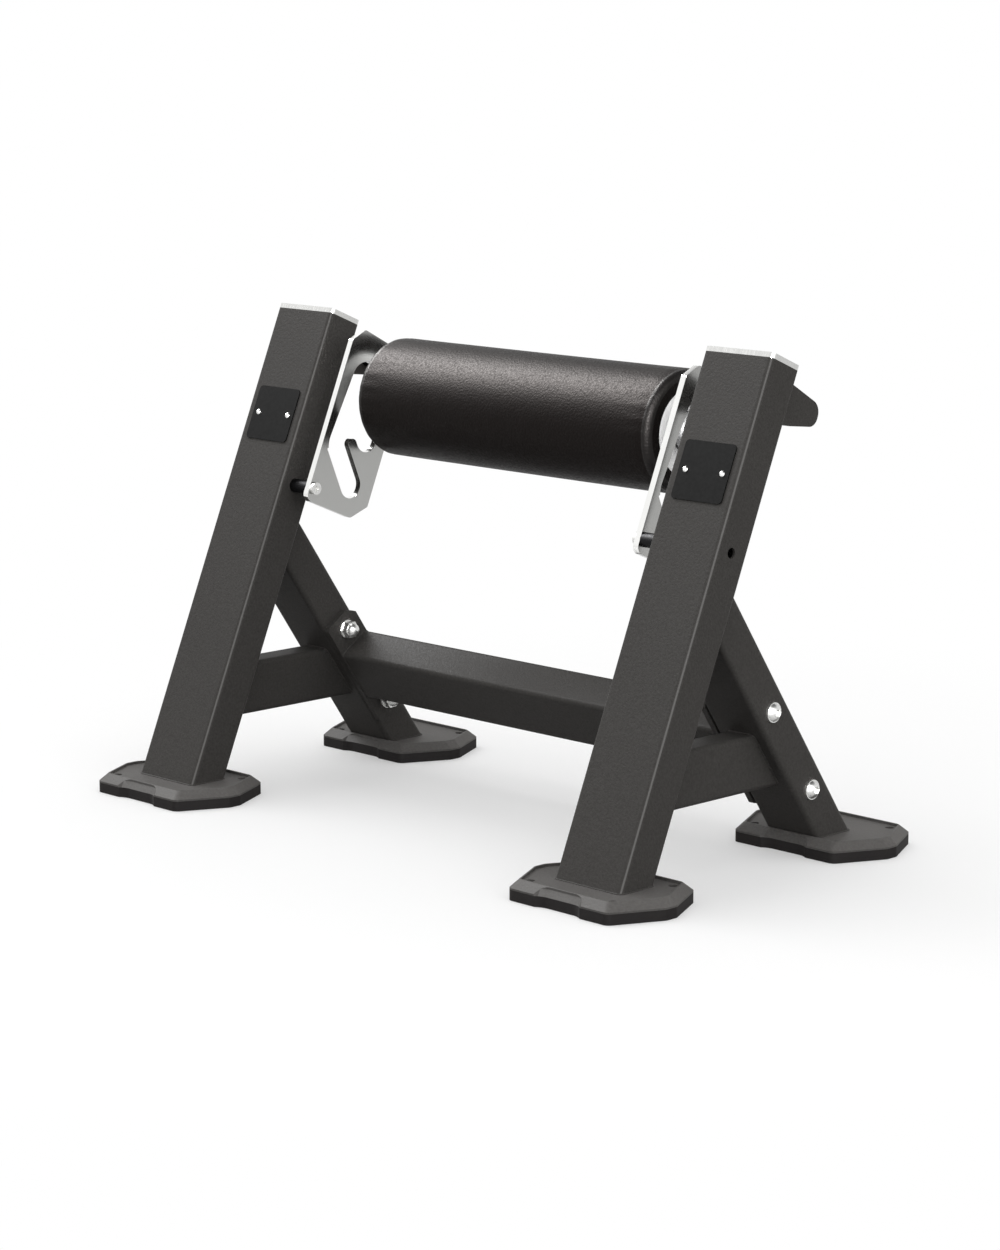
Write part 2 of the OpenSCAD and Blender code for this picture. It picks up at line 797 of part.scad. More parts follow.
color("#474543") leg(-1);  // left_leg
color("#474543") leg(1);  // right_leg
color("#434140") brace(-1);  // left_brace
color("#434140") brace(1);  // right_brace
color("#403e3d") side_tube(-1);  // left_side_tube
color("#403e3d") side_tube(1);  // right_side_tube
color("#4b4947") foot_plate(-1, -1);  // front_left_foot_plate
color("#4b4947") foot_plate(1, -1);  // front_right_foot_plate
color("#4b4947") foot_plate(-1, 1);  // rear_left_foot_plate
color("#4b4947") foot_plate(1, 1);  // rear_right_foot_plate
color("#2b2929") foot_pad(-1, -1);  // front_left_foot_pad
color("#2b2929") foot_pad(1, -1);  // front_right_foot_pad
color("#2b2929") foot_pad(-1, 1);  // rear_left_foot_pad
color("#2b2929") foot_pad(1, 1);  // rear_right_foot_pad
color("#dcdcdc") top_cap(-1);  // left_top_cap
color("#dcdcdc") top_cap(1);  // right_top_cap
color("#474543") crossbar();
color("#403e3d") crossbar_flange(-1);  // left_crossbar_flange
color("#403e3d") crossbar_flange(1);  // right_crossbar_flange
color("#c8c8c8") crossbar_bolts();
color("#b4b4b4") crossbar_washers();
color("#c8c8c8") crossbar_cap_nuts();
color("#3a3838") rear_arm(-1);  // left_rear_arm
color("#3a3838") rear_arm(1);  // right_rear_arm
color("#c4c4c4") ladder_plate(-1);  // left_ladder_plate
color("#c4c4c4") ladder_plate(1);  // right_ladder_plate
color("#1c1c1c") ladder_spacers();
color("#c8c8c8") ladder_bolts();
color("#9a9a9a") ladder_nuts();
color("#262626") badge_plate(-1);  // left_badge_plate
color("#262626") badge_plate(1);  // right_badge_plate
color("#e6e6e6") badge_rivets();
color("#b8b8b8") axle();
color("#1c1c1c") axle_end_plugs();
color("#a8a8a8") axle_outer_collars();
color("#a8a8a8") axle_inner_collars();
color("#2a2a2a") collar_screws();
color("#1e1e1e") roller_bush(-1);  // left_roller_bush
color("#1e1e1e") roller_bush(1);  // right_roller_bush
color("#d0d0d0") roller_end_disc(-1);  // left_roller_end_disc
color("#d0d0d0") roller_end_disc(1);  // right_roller_end_disc
color("#8c8c8c") roller_core_tube();
color("#3c3c3c") roller_foam();
color("#1b1b1b") roller_cover();
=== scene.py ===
import math

import bmesh
import bpy
from mathutils import Matrix, Vector


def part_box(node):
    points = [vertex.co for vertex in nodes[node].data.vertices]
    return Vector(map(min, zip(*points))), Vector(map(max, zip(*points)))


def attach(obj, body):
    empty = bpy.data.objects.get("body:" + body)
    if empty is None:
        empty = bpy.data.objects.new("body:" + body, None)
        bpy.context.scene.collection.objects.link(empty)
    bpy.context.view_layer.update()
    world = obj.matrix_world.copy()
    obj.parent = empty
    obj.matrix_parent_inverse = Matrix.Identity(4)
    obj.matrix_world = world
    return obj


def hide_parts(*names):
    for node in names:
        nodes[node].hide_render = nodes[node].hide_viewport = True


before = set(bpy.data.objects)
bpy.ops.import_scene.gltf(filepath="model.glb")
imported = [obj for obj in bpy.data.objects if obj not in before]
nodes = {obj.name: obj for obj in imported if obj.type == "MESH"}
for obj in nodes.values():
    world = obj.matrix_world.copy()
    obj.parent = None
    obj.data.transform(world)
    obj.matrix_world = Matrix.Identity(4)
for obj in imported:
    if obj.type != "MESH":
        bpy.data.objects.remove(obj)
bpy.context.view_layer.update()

# Camera: stands 4 m off at the right front corner, a little above the roller, and looks slightly down.
# Its place and lens are those that the photograph was taken with.
camera_data = bpy.data.cameras.new("camera")
camera_data.lens = 99.82
camera_data.sensor_width = 36
camera_data.clip_end = 40
camera = bpy.data.objects.new("camera", camera_data)
camera.location = (2.8715, -2.8242, 0.9879)
camera.rotation_euler = (math.radians(79.38), 0, math.radians(45.33))
bpy.context.scene.collection.objects.link(camera)
bpy.context.scene.camera = camera


# Steel frame: legs, braces, side tubes, crossbar and arms of drawn rectangular tube, and bevelled foot plates.
# All are steel, welded into two side frames and a bolted crossbar, with a fine-textured charcoal powder coat
# that is baked on after the welding.
def linear(code):
    """A colour written as an sRGB hex value, in the linear light that a shader takes."""
    parts = [int(code[i:i + 2], 16) / 255 for i in (1, 3, 5)]
    return [c / 12.92 if c <= 0.04045 else ((c + 0.055) / 1.055) ** 2.4 for c in parts] + [1.0]


def add(tree, kind, sockets=None, **settings):
    """Adds a shader node with its settings. Each socket gets a plain value or a link."""
    node = tree.nodes.new("ShaderNode" + kind)
    for name, value in settings.items():
        setattr(node, name, value)
    for name, value in (sockets or {}).items():
        if isinstance(value, bpy.types.NodeSocket):
            tree.links.new(value, node.inputs[name])
        else:
            node.inputs[name].default_value = value
    return node


def start(name, **sockets):
    """A new material with its shader, and the object's own coordinates to place patterns by."""
    material = bpy.data.materials.new(name)
    material.use_nodes = True
    tree = material.node_tree
    tree.nodes.clear()
    shader = add(tree, "BsdfPrincipled", {k.replace("_", " "): v for k, v in sockets.items()})
    output = add(tree, "OutputMaterial")
    tree.links.new(shader.outputs["BSDF"], output.inputs["Surface"])
    return material, tree, shader, add(tree, "TexCoord").outputs["Object"]


def noise(tree, place, scale, detail=2.0, rough=0.5):
    """A cloudy pattern. Its scale is the number of its waves in a metre."""
    sockets = {"Vector": place, "Scale": scale, "Detail": detail, "Roughness": rough}
    return add(tree, "TexNoise", sockets).outputs["Fac"]


def remap(tree, pattern, old=(0.0, 1.0), new=(0.0, 1.0), **settings):
    """A pattern whose values are spread from the old span over the new one."""
    spans = {"From Min": old[0], "From Max": old[1], "To Min": new[0], "To Max": new[1]}
    return add(tree, "MapRange", {"Value": pattern, **spans}, **settings).outputs["Result"]


def mix(tree, pattern, first, second):
    """Two colours mixed by a pattern. Each is an sRGB hex value or a pattern itself."""
    first, second = (linear(c) if isinstance(c, str) else c for c in (first, second))
    return add(tree, "Mix", {"Factor": pattern, "A": first, "B": second}, data_type="RGBA").outputs["Result"]


def bump(tree, pattern, strength, depth, under=None, **settings):
    """Relief from a pattern, its depth in metres. It lies on the relief under it, where one is given."""
    sockets = {"Height": pattern, "Strength": strength, "Distance": depth}
    if under is not None:
        sockets["Normal"] = under
    return add(tree, "Bump", sockets, **settings).outputs["Normal"]


def feed(tree, shader, **patterns):
    """Links patterns into the sockets of a material's shader."""
    for name, pattern in patterns.items():
        tree.links.new(pattern, shader.inputs[name.replace("_", " ")])


def powder(name, dark, light, haze, corner_highlight):
    """A fine-textured powder coat of two mixed tones, with a painted highlight along tube corners. The corner
    highlight is how much lighter that makes the coat there.
    """
    material, tree, shader, place = start(name, IOR=1.5, Specular_IOR_Level=0.045)
    # A sandy grain breaks up every highlight. It is 3 mm coarse, as it shows from 4 m off.
    grain = noise(tree, place, 340.0, 3.0, 0.65)
    cloud = noise(tree, place, 7.0)
    speckle = mix(tree, remap(tree, grain, (0.3, 0.7)), dark, light)
    coat = mix(tree, remap(tree, cloud, (0.3, 0.7), (0.0, 0.14)), speckle, haze)
    # A painted highlight: a light line along each tube corner, where its rounding catches the light. There the
    # square of the normal's x is about a half, so its product with the rest of one comes near its peak of a
    # quarter.
    facing = add(tree, "SeparateXYZ", {"Vector": add(tree, "TexCoord").outputs["Normal"]}).outputs["X"]
    square = add(tree, "Math", {0: facing, 1: facing}, operation="MULTIPLY").outputs[0]
    rest = add(tree, "Math", {0: 1.0, 1: square}, operation="SUBTRACT").outputs[0]
    corner = add(tree, "Math", {0: square, 1: rest}, operation="MULTIPLY").outputs[0]
    painted_corner_highlight = mix(tree, remap(tree, corner, (0.2, 0.25), (0.0, corner_highlight)), coat, "#b4b2b0")
    feed(tree, shader, Base_Color=painted_corner_highlight, Roughness=remap(tree, grain, (0.3, 0.7), (0.46, 0.6)),
        Normal=bump(tree, grain, 0.4, 0.001))
    return material


# Matt charcoal. Painted highlight along the legs' tube corners; the feet's coat is painted lighter for the
# light their bevels catch.
powder_coat = powder("textured_powder_coat", "#484644", "#53514f", "#3f3d3b", 0.0)
leg_coat_painted_highlight = powder("textured_leg_coat", "#484644", "#53514f", "#3f3d3b", 0.32)
foot_coat_painted_lighter = powder("textured_foot_coat", "#63615f", "#706e6c", "#555351", 0.0)


def dress(material, *names):
    """Gives CAD nodes one material."""
    for name in names:
        mesh = nodes[name].data
        mesh.materials.clear()
        mesh.materials.append(material)


dress(leg_coat_painted_highlight, "left_leg", "right_leg")
dress(powder_coat, "left_brace", "right_brace", "left_side_tube", "right_side_tube", "crossbar",
    "left_crossbar_flange", "right_crossbar_flange", "left_rear_arm", "right_rear_arm")


# Foot plates: four bevelled steel plates under the legs and braces, welded to them and coated with them.
# Each has a low rim, and a shallow waist pressed into its front and its rear side.
def to_mesh(bm, name, smooth=True):
    """A finished bmesh as a mesh."""
    mesh = bpy.data.meshes.new(name)
    bm.to_mesh(mesh)
    bm.free()
    mesh.polygons.foreach_set("use_smooth", [smooth] * len(mesh.polygons))
    return mesh


def settle(name, mesh, material, body):
    """Links a finished mesh as a piece that rides on a body."""
    mesh.materials.append(material)
    piece = bpy.data.objects.new(name, mesh)
    bpy.context.scene.collection.objects.link(piece)
    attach(piece, body)
    return piece


def rounded_copy(node, name, bevel, material, crease=30, waist=0):
    """A copy of a CAD node on the frame, its triangles joined and its sharp edges broken by a bevel. Across
    edges below the crease angle the shading runs on, led by the larger face, so that flats stay flat and
    small curves look round. Steep faces within the waist, which is half its width, are shaded like the
    foot's bevel beside them, because so shallow a press hardly shows."""
    bm = bmesh.new()
    bm.from_mesh(nodes[node].data)
    bmesh.ops.remove_doubles(bm, verts=bm.verts, dist=0.00001)
    bmesh.ops.dissolve_limit(bm, angle_limit=math.radians(0.5), verts=bm.verts, edges=bm.edges)
    crease = math.radians(crease)
    if bevel:
        sharp = [e for e in bm.edges if len(e.link_faces) == 2 and e.calc_face_angle(0) > crease]
        bmesh.ops.bevel(bm, geom=sharp, offset=bevel, segments=2, profile=0.5, affect="EDGES", material=-1,
            clamp_overlap=True)
    bm.normal_update()
    area = {face: face.calc_area() for face in bm.faces}
    low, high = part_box(node)
    middle = (low.x + high.x) / 2
    normals = []
    for face in bm.faces:
        steep = 0.1 < face.normal.z < 0.6
        if steep and abs(face.calc_center_median().x - middle) < waist:
            beside = Vector((0, math.copysign(0.74, face.normal.y), 0.67))
            normals += [beside] * len(face.loops)
            continue
        for loop in face.loops:
            near = [f for f in loop.vert.link_faces if f.normal.angle(face.normal, 0) < crease]
            normals.append(sum((f.normal * area[f] for f in near), Vector()).normalized())
    mesh = to_mesh(bm, name)
    mesh.normals_split_custom_set(normals)
    piece = settle(name, mesh, material, "frame")
    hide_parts(node)
    return mesh


# The foot plates take the coat painted lighter, which stands in for the light that their bevels catch.
for end in ("front", "rear"):
    for side in ("left", "right"):
        rounded_copy(f"{end}_{side}_foot_plate", f"{end}_{side}_foot_plate_cast", 0.0, foot_coat_painted_lighter,
            crease=26, waist=0.032)


# Weld beads: fillet welds where tube meets tube or plate, under the same coat of powder.
# Each is a low bead, 1.4 mm thick and rippled every 2.8 mm, that runs round the end of the welded tube.
leg_lean = math.radians(22.8)
brace_lean = math.radians(34.5)
bead_r = 0.0014
bead_sides = 8
ripple_pitch = 0.0028
ripple_share = 0.13
rings_per_ripple = 4
corner_steps = 4


def bead(bm, node, point, normal, corner=0.006):
    """Adds a weld bead to bm, round the end of a tube that lies on the plane through a point. Corner is the
    radius of the tube's corners."""
    point = Vector(point)
    normal = Vector(normal).normalized()
    across = Vector((1, 0, 0))
    if abs(normal.x) > 0.5:
        across = Vector((0, math.cos(brace_lean), math.sin(brace_lean)))
    up = normal.cross(across).normalized()
    end = [v.co - point for v in nodes[node].data.vertices if abs((v.co - point).dot(normal)) < 0.0004]
    us = [c.dot(across) for c in end]
    vs = [c.dot(up) for c in end]
    mid = point + across * (max(us) + min(us)) / 2 + up * (max(vs) + min(vs)) / 2
    flat_u = (max(us) - min(us)) / 2 - corner
    flat_v = (max(vs) - min(vs)) / 2 - corner
    line = []
    for turn, (su, sv) in enumerate(((1, 1), (-1, 1), (-1, -1), (1, -1))):
        for k in range(corner_steps + 1):
            a = math.radians(90) * (turn + k / corner_steps)
            line.append(Vector((su * flat_u + corner * math.cos(a), sv * flat_v + corner * math.sin(a))))
    loop = line + line[:1]
    spans = [(loop[i + 1] - loop[i]).length for i in range(len(line))]
    count = int(sum(spans) / (ripple_pitch / rings_per_ripple))
    rings = []
    for i in range(count):
        s, k = i * sum(spans) / count, 0
        while s > spans[k]:
            s, k = s - spans[k], k + 1
        spot = loop[k].lerp(loop[k + 1], s / spans[k])
        way = (loop[k + 1] - loop[k]).normalized()
        out = across * way.y - up * way.x
        r = bead_r * (1 + ripple_share * math.sin(2 * math.pi * i / rings_per_ripple))
        centre = mid + across * spot.x + up * spot.y
        rings.append([bm.verts.new(centre + (out * math.cos(t) + normal * math.sin(t)) * r)
            for t in (2 * math.pi * j / bead_sides for j in range(bead_sides))])
    for i, ring in enumerate(rings):
        following = rings[(i + 1) % count]
        for j in range(bead_sides):
            k = (j + 1) % bead_sides
            bm.faces.new((ring[j], ring[k], following[k], following[j]))


foot_top = 0.020
leg_back = Vector((0, math.cos(leg_lean), -math.sin(leg_lean)))
brace_front = Vector((0, -math.cos(brace_lean), -math.sin(brace_lean)))
for side, inward in (("left", 1), ("right", -1)):
    leg_foot = [v.co for v in nodes[f"{side}_leg"].data.vertices if abs(v.co.z - foot_top) < 0.0004]
    brace_foot = [v.co for v in nodes[f"{side}_brace"].data.vertices if abs(v.co.z - foot_top) < 0.0004]
    leg_rear = max(leg_foot, key=lambda c: c.y)
    brace_nose = min(brace_foot, key=lambda c: c.y)
    flange_low, flange_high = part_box(f"{side}_crossbar_flange")
    flange_face = flange_high.x if side == "left" else flange_low.x
    bm = bmesh.new()
    bead(bm, f"{side}_leg", (0, 0, foot_top), (0, 0, 1))
    bead(bm, f"{side}_brace", (0, 0, foot_top), (0, 0, 1))
    bead(bm, f"{side}_brace", leg_rear, leg_back)
    bead(bm, f"{side}_side_tube", leg_rear, leg_back)
    bead(bm, f"{side}_side_tube", brace_nose, brace_front)
    bead(bm, f"{side}_rear_arm", leg_rear, leg_back, corner=0.001)
    bead(bm, "crossbar", (flange_face, 0, 0), (inward, 0, 0))
    bmesh.ops.recalc_face_normals(bm, faces=bm.faces)
    settle(f"{side}_weld_beads", to_mesh(bm, f"{side}_weld_beads"), powder_coat, "frame")


# Foot pads: moulded rubber soles, bonded under the coated foot plates.
# Black rubber filled with carbon, matt, with the fine stipple of its mould (1.4 mm) and patches of dust.
pad_rubber, tree, shader, place = start("moulded_rubber", IOR=1.52, Specular_IOR_Level=0.12)
stipple = noise(tree, place, 700.0)
dust = noise(tree, place, 28.0, 4.0, 0.65)
film = mix(tree, remap(tree, dust, (0.42, 0.75), (0.0, 0.45)), "#272424", "#383533")
feed(tree, shader, Base_Color=film, Roughness=remap(tree, dust, new=(0.62, 0.82)),
    Normal=bump(tree, stipple, 0.3, 0.0004))
dress(pad_rubber, "front_left_foot_pad", "front_right_foot_pad", "rear_left_foot_pad", "rear_right_foot_pad")


# Top caps: steel plates with a spigot that fills the mouth of the leg's tube, nickel-chrome plated.
# Chrome gives them a nearly white top with a soft blur from the brushing under the plating.
def metal(name, code, rough, streak=(60, 60, 60), spread=0.08, relief_depth=0.0):
    """A bare or plated metal: its colour, its roughness, how far that spreads, and streaks of handling or
    grinding, given as waves in a metre along x, y and z."""
    material, tree, shader, place = start(name, Base_Color=linear(code), Metallic=1.0)
    lie = add(tree, "Mapping", {"Vector": place, "Scale": streak}).outputs["Vector"]
    lines = noise(tree, lie, 1.0, 4.0, 0.55)
    feed(tree, shader, Roughness=remap(tree, lines, (0.3, 0.7), (rough - spread, rough + spread)))
    if relief_depth:
        feed(tree, shader, Normal=bump(tree, lines, 0.2, relief_depth))
    return material


chrome = metal("nickel_chrome_plate", "#d8d8d6", 0.16, streak=(900, 60, 60), spread=0.06, relief_depth=0.0001)
dress(chrome, "left_top_cap", "right_top_cap")


# Ladder plates: 8 mm steel plates, cut to shape by laser, then ground, zinc plated and bolted to the legs.
# Ground faces give a soft mirror. The front edge and the edges that face up get a lighter, smoother zinc:
# a painted highlight for the white line of light that they catch.
bright_plate = metal("ground_zinc_plate", "#acacaa", 0.2, streak=(40, 500, 40), spread=0.02,
    relief_depth=0.00004)
edge_painted_highlight = metal("zinc_edge_painted_highlight", "#f2f2f0", 0.14, streak=(40, 40, 40), spread=0.03)
edge_break = 0.0006
front_edge_depth = 0.006
for side in ("left", "right"):
    mesh = rounded_copy(f"{side}_ladder_plate", f"{side}_ladder_plate_cut", edge_break, bright_plate)
    mesh.materials.append(edge_painted_highlight)
    front = min(face.center.dot(leg_back) for face in mesh.polygons)
    # Cut faces on the front edge, and cut faces that face up, take the painted highlight.
    for face in mesh.polygons:
        cut = abs(face.normal.x) < 0.95
        outer = face.center.dot(leg_back) < front + front_edge_depth
        face.material_index = 1 if cut and (outer or face.normal.z > 0.4) else 0

# Spacers between ladder plate and leg, and the collars' set screws: turned steel with a black oxide finish.
# The oxide is thin and oily, so it stays dark and only its edges shine.
black_oxide = metal("black_oxide_steel", "#1e1e1f", 0.5, streak=(900, 90, 90))
dress(black_oxide, "ladder_spacers", "collar_screws")

# Bolts, washers and nuts: cold-headed steel, bright zinc plated. They hold the crossbar and ladder plates.
# Zinc has a slightly milky shine, a little uneven from barrel plating.
zinc = metal("bright_zinc", "#d6d6d4", 0.36, streak=(160, 160, 160), spread=0.05, relief_depth=0.0001)
dress(zinc, "crossbar_bolts", "crossbar_washers", "crossbar_cap_nuts", "ladder_bolts", "ladder_nuts")

# Rivets: bare aluminium blind rivets that hold the badge plates, with small light domes.
rivet_alloy = metal("aluminium_rivet", "#ececea", 0.28, streak=(200, 200, 200))
dress(rivet_alloy, "badge_rivets")

# Badge plates: thin aluminium plates, dyed black, riveted to the fronts of the legs. They are left bare.
# The dye is deep and satin, so they are the darkest flat faces of the bench.
black_anodised, tree, shader, place = start("black_anodised_aluminium", IOR=1.5, Specular_IOR_Level=0.05)
sheen = noise(tree, place, 240.0, 3.0)
feed(tree, shader, Base_Color=mix(tree, sheen, "#131313", "#1c1c1c"),
    Roughness=remap(tree, sheen, new=(0.34, 0.5)))
dress(black_anodised, "left_badge_plate", "right_badge_plate")

# Axle: cold-drawn steel tube that lies loose in the top seats, ground so that the bushes run freely on it.
# Drawing leaves long fine lines along it. The roller's core tube is drawn the same way.
drawn_steel = metal("cold_drawn_steel", "#b9b9ba", 0.26, streak=(8, 700, 700), spread=0.06,
    relief_depth=0.0001)
dress(drawn_steel, "axle", "roller_core_tube")

# Collars: turned steel rings either side of each ladder plate, clamped on the axle by set screws.
# The tool leaves fine rings round them, which dull their shine.
turned_steel = metal("turned_steel_collar", "#a9a9aa", 0.3, streak=(900, 60, 60))
dress(turned_steel, "axle_outer_collars", "axle_inner_collars")

# Bushes and end plugs: injection-moulded nylon, pressed into the end discs' hubs and the axle's ends.
# Black, with a soft low sheen that varies over 3 mm.
black_nylon, tree, shader, place = start("black_nylon", IOR=1.53)
skin = noise(tree, place, 300.0)
feed(tree, shader, Base_Color=mix(tree, skin, "#151515", "#1f1f1f"),
    Roughness=remap(tree, skin, new=(0.38, 0.5)))
dress(black_nylon, "left_roller_bush", "right_roller_bush", "axle_end_plugs")

# End discs: turned steel discs with a hub in the core tube. They close the roller and clamp its cover.
# They are satin chrome plated, so softly that they look nearly white.
satin_chrome = metal("satin_chrome_disc", "#ffffff", 0.64, spread=0.04)
dress(satin_chrome, "left_roller_end_disc", "right_roller_end_disc")

# Roller foam: a dense sleeve of closed-cell foam, glued on the core tube and hidden by the cover.
# Its cells of 1.4 mm give it a dark sponge grain.
foam, tree, shader, place = start("closed_cell_foam", IOR=1.4, Roughness=0.9)
cells = add(tree, "TexVoronoi", {"Vector": place, "Scale": 700.0}).outputs["Distance"]
feed(tree, shader, Base_Color=mix(tree, cells, "#202020", "#3a3a3a"), Normal=bump(tree, cells, 0.5, 0.0006))

low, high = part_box("roller_cover")
axis = Vector((0, (low.y + high.y) / 2, (low.z + high.z) / 2))
half_len = high.x
roller_r = (high.z - low.z) / 2


def turned(profile, steps):
    """Turns a profile of (distance along the axle, radius) about the axle into a closed ring."""
    bm = bmesh.new()
    dots = [bm.verts.new((x, axis.y, axis.z + r)) for x, r in profile]
    lines = [bm.edges.new((dots[i], dots[(i + 1) % len(dots)])) for i in range(len(dots))]
    bmesh.ops.spin(bm, geom=dots + lines, cent=axis, axis=(1, 0, 0), angle=2 * math.pi, steps=steps,
        use_merge=True)
    bmesh.ops.recalc_face_normals(bm, faces=bm.faces)
    return bm


core_r = 0.0302
pocket_r = 0.0512
sleeve_r = roller_r - 0.003
sleeve_half = half_len - 0.003
disc_back = half_len - 0.0083
foam_round = 0.006
shoulder = [(disc_back, core_r), (disc_back, pocket_r), (sleeve_half, pocket_r)]
for k in range(6):
    a = math.radians(18 * k)
    shoulder.append((sleeve_half - foam_round * (1 - math.cos(a)), sleeve_r - foam_round * (1 - math.sin(a))))
bm = turned([*((-x, r) for x, r in shoulder), *reversed(shoulder)], 96)
sleeve = settle("roller_foam_sleeve", to_mesh(bm, "roller_foam_sleeve", smooth=False), foam, "roller")
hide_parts("roller_foam")

# Roller cover: a tube of black grained vinyl with a round end panel sewn in at each end.
# It is pulled tight over the foam and its hem is clamped under the end disc.
vinyl, tree, shader, place = start("grained_black_vinyl", IOR=1.5, Specular_IOR_Level=0.09,
    Specular_Tint=linear("#ffe9e0"))
# Leather grain of 2 mm pebbles with fine pores, on slow folds of 3 cm. It breaks the long highlight up.
pebbles = add(tree, "TexVoronoi", {"Vector": place, "Scale": 460.0}, feature="SMOOTH_F1").outputs["Distance"]
pores = noise(tree, place, 900.0)
folds = noise(tree, place, 34.0, 4.0, 0.6)
film = mix(tree, remap(tree, pebbles, (0.0, 0.9)), "#0e0c0b", "#070505")
broad = bump(tree, folds, 0.12, 0.004)
cellular = bump(tree, pebbles, 0.36, 0.0008, broad, invert=True)
feed(tree, shader, Base_Color=film, Roughness=remap(tree, pebbles, (0.0, 0.8), (0.36, 0.6)),
    Normal=bump(tree, pores, 0.25, 0.0004, cellular))

skin_t = 0.002
rim_round = 0.0095
outside = [(half_len, pocket_r), (half_len, 0.0565), (half_len, 0.062)]
inside = [(x - skin_t, r) for x, r in outside]
for k in range(7):
    a = math.radians(15 * k)
    for line, r in ((outside, rim_round), (inside, rim_round - skin_t)):
        line.append((half_len - rim_round + r * math.cos(a), roller_r - rim_round + r * math.sin(a)))
# The tube is cut in short runs, so that its folds can bend it.
runs = 46
straight = half_len - rim_round - 0.004
length = [straight - 2 * straight * k / runs for k in range(runs + 1)]
profile = outside + [(x, roller_r) for x in length] + [(-x, r) for x, r in reversed(outside)]
profile += [(-x, r) for x, r in inside] + [(x, r) for x, r in reversed(inside)]
bm = turned(profile, 240)

seam_turn = math.radians(-48)
slack = 0.0003
pucker_depth, pucker_reach = 0.00022, 0.05
wave_depth = 0.0002
groove_depth, groove_width = 0.0011, 0.0022
welt_depth, welt_width = 0.0009, 0.0016
hem_edge = 0.0575
panel_edge = 0.066
for v in bm.verts:
    spoke = Vector((0, v.co.y - axis.y, v.co.z - axis.z))
    if spoke.length <= hem_edge:
        continue
    a = math.atan2(spoke.z, spoke.y)
    to_rim = half_len - rim_round - abs(v.co.x)
    near = max(0.0, 1 - to_rim / pucker_reach) if to_rim > 0 else 0.5
    pull = pucker_depth * near * math.sin(23 * a + 3 * math.sin(2 * a))
    pull += wave_depth * math.sin(3 * a + 9 * v.co.x)
    groove = welt = 0
    if abs(v.co.x) < half_len - 0.004:
        from_seam = ((a - seam_turn + math.pi) % (2 * math.pi) - math.pi) * roller_r
        groove = groove_depth * math.exp(-(from_seam / groove_width) ** 2)
    if spoke.length > panel_edge:
        welt = welt_depth * math.exp(-((to_rim - 0.001) / welt_width) ** 2)
    v.co += spoke.normalized() * (pull - groove - welt - slack)
mesh = to_mesh(bm, "roller_cover_sewn")
mesh.set_sharp_from_angle(angle=math.radians(60))
cover = settle("roller_cover_sewn", mesh, vinyl, "roller")
# Over the rims the vinyl is stretched tight, which leaves it smoother and more shiny there.
tight = vinyl.copy()
tight.name = "stretched_black_vinyl"
tight_shader = next(n for n in tight.node_tree.nodes if n.type == "BSDF_PRINCIPLED")
tight_shader.inputs["Specular IOR Level"].default_value = 0.24
tight_shader.inputs["Specular Tint"].default_value = linear("#fff8f5")
mesh.materials.append(tight)
for face in mesh.polygons:
    r = math.hypot(face.center.y - axis.y, face.center.z - axis.z)
    if abs(face.center.x) > half_len - rim_round and r > roller_r - rim_round:
        face.material_index = 1
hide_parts("roller_cover")


# Stitching: waxed black polyester thread, a lock stitch beside the seam that runs along the roller's rear.
# There is a stitch every 5 mm, nearly 4 mm long and sunk a little in the vinyl.
thread_r = 0.0005
stitch_len = 0.0038
stitches = 84
row_len = 0.42
row_turn = seam_turn + 0.07


def stitch(bm, centre, along, up, size):
    """One short thread that dips into the vinyl at both ends."""
    made = bmesh.ops.create_uvsphere(bm, u_segments=8, v_segments=6, radius=1)["verts"]
    side = up.cross(along)
    turn = Matrix((along * size / 2, side * thread_r, up * thread_r)).transposed().to_4x4()
    bmesh.ops.transform(bm, matrix=Matrix.Translation(centre) @ turn, verts=made)


thread, tree, shader, place = start("waxed_polyester_thread", IOR=1.5, Roughness=0.5)
feed(tree, shader, Base_Color=mix(tree, noise(tree, place, 900.0), "#1c1b1b", "#343230"))
bm = bmesh.new()
spoke = Vector((0, math.cos(row_turn), math.sin(row_turn)))
for k in range(stitches):
    x = row_len * (k / (stitches - 1) - 0.5)
    stitch(bm, axis + spoke * (roller_r - thread_r) + Vector((x, 0, 0)), Vector((1, 0, 0)), spoke, stitch_len)
settle("roller_stitching", to_mesh(bm, "roller_stitching"), thread, "roller")


# Studio: white surroundings that light the bench softly. Metal sees the same white as the camera.
world = bpy.data.worlds.new("studio")
bpy.context.scene.world = world
world.use_nodes = True
tree = world.node_tree
tree.nodes.clear()
rays = add(tree, "LightPath").outputs
seen = add(tree, "Math", {0: rays["Is Camera Ray"], 1: rays["Is Glossy Ray"]}, operation="MAXIMUM").outputs[0]
through = add(tree, "Math", {0: seen, 1: rays["Is Transmission Ray"]}, operation="MAXIMUM").outputs[0]
soft = add(tree, "Background", {"Color": (1, 1, 1, 1), "Strength": 0.75}).outputs[0]
white = add(tree, "Background", {"Color": (1, 1, 1, 1), "Strength": 1.0}).outputs[0]
either = add(tree, "MixShader", {0: through, 1: soft, 2: white}).outputs[0]
tree.links.new(either, add(tree, "OutputWorld").inputs["Surface"])

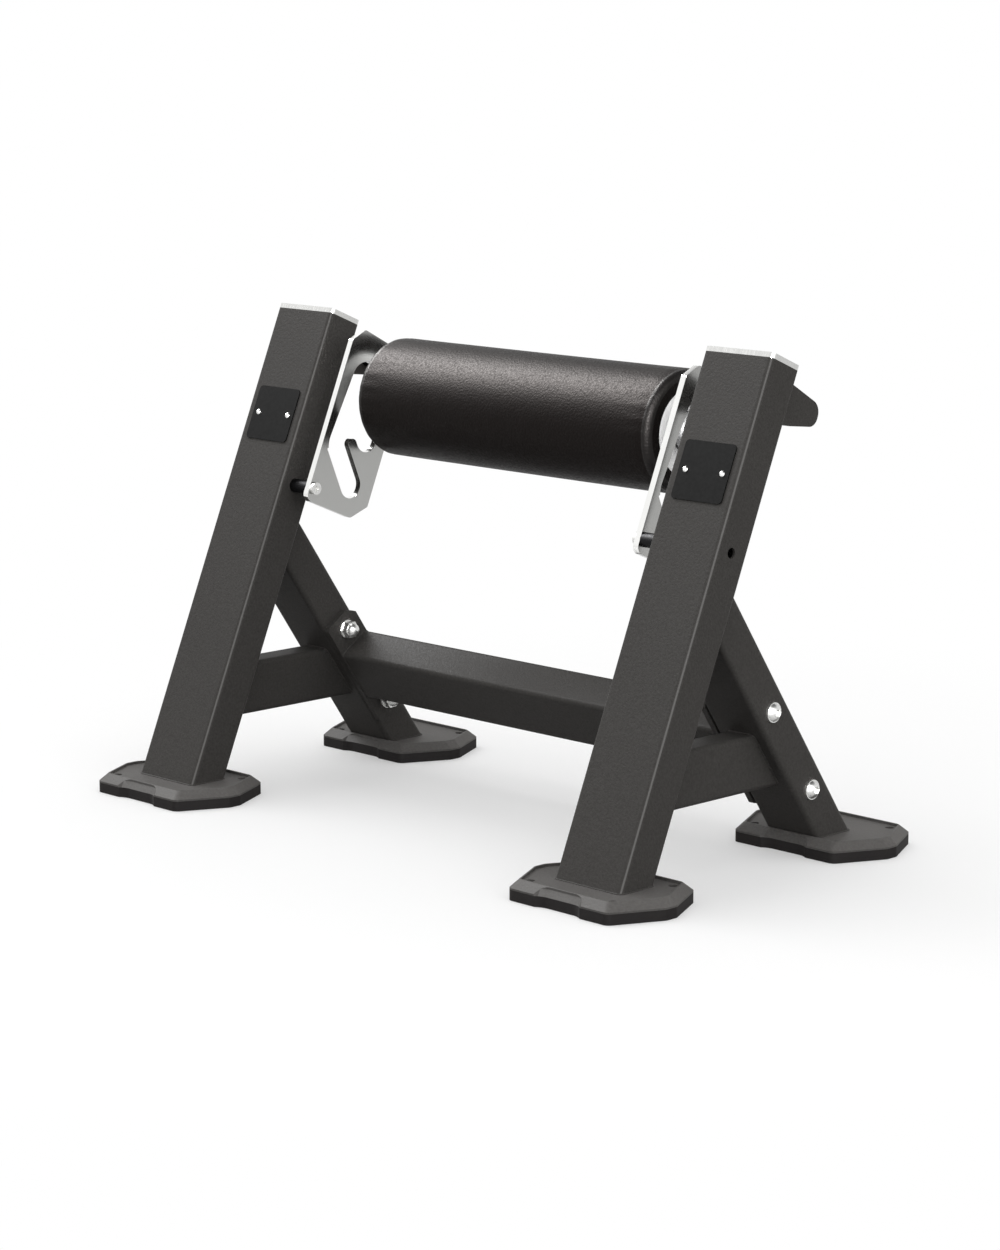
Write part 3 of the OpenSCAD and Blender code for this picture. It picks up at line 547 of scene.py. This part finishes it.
# Floor: a pale painted floor that takes the shadow. It is grey to diffuse rays, so that it throws little
# light up under the bench, and fades to white 1.3 m off for the camera.
floor_paint, tree, shader, place = start("pale_floor", Base_Color=linear("#fcfcfc"), Roughness=0.9)
output = next(n for n in tree.nodes if n.type == "OUTPUT_MATERIAL")
rays = add(tree, "LightPath").outputs
seen = add(tree, "Math", {0: rays["Is Camera Ray"], 1: rays["Is Glossy Ray"]}, operation="MAXIMUM").outputs[0]
dim = add(tree, "BsdfDiffuse", {"Color": linear("#787878")}).outputs[0]
paint = add(tree, "MixShader", {0: seen, 1: dim, 2: shader.outputs[0]}).outputs[0]
reach = add(tree, "VectorMath", {0: place}, operation="LENGTH").outputs["Value"]
fade = remap(tree, reach, (0.45, 1.3), (0.3, 1.0), interpolation_type="SMOOTHSTEP")
share = add(tree, "Math", {0: fade, 1: rays["Is Camera Ray"]}, operation="MULTIPLY").outputs[0]
glow = add(tree, "Emission", {"Color": (1, 1, 1, 1), "Strength": 1.0}).outputs[0]
blend = add(tree, "MixShader", {0: share, 1: paint, 2: glow}).outputs[0]
tree.links.new(blend, output.inputs["Surface"])


def prop(name, bm, material):
    """Links a sheet of the studio, which is no part of the bench."""
    mesh = to_mesh(bm, name, smooth=False)
    mesh.materials.append(material)
    sheet = bpy.data.objects.new(name, mesh)
    bpy.context.scene.collection.objects.link(sheet)
    return sheet


bm = bmesh.new()
bmesh.ops.create_circle(bm, cap_ends=True, segments=96, radius=14)
floor = prop("floor", bm, floor_paint)
floor.location.z = -0.0004


# Lamps: two softboxes light the paint, and two bright cards only show as reflections, along the roller
# and on the tubes' corners.
def lamp(name, place, target, size, watts, matt=True, shine=True):
    """A square softbox that faces a point. One that isn't for matt colours only shows as a reflection."""
    data = bpy.data.lights.new(name, "AREA")
    data.size = size
    data.energy = watts
    box = bpy.data.objects.new(name, data)
    box.location = place
    box.rotation_euler = (Vector(target) - Vector(place)).to_track_quat("-Z", "Y").to_euler()
    box.visible_diffuse = matt
    box.visible_glossy = shine
    bpy.context.scene.collection.objects.link(box)


lamp("top_softbox", (-0.3, -0.3, 3.0), (0, 0, 0.2), 3.0, 22, shine=False)
lamp("side_softbox", (3.4, -0.4, 1.3), (0, 0, 0.3), 2.0, 14)
lamp("shine_card", (-4.05, -0.6, 4.5), (0, 0, 0.3), 3.0, 1150, matt=False)
lamp("edge_card", (2.9, -2.5, 1.85), (0, 0, 0.3), 1.2, 330, matt=False)

# A black cloth hangs over the bench, so that steel edges which face up look dark.
bm = bmesh.new()
bmesh.ops.create_grid(bm, x_segments=1, y_segments=1, size=5.8)
bmesh.ops.translate(bm, vec=(0, 0, 6.5), verts=bm.verts)
black_cloth = start("black_cloth", Base_Color=linear("#0a0a0a"), Roughness=1.0)[0]
cloth = prop("ceiling_cloth", bm, black_cloth)
cloth.visible_camera = False
cloth.visible_diffuse = False
cloth.visible_shadow = False

bpy.context.scene.view_settings.view_transform = "Standard"
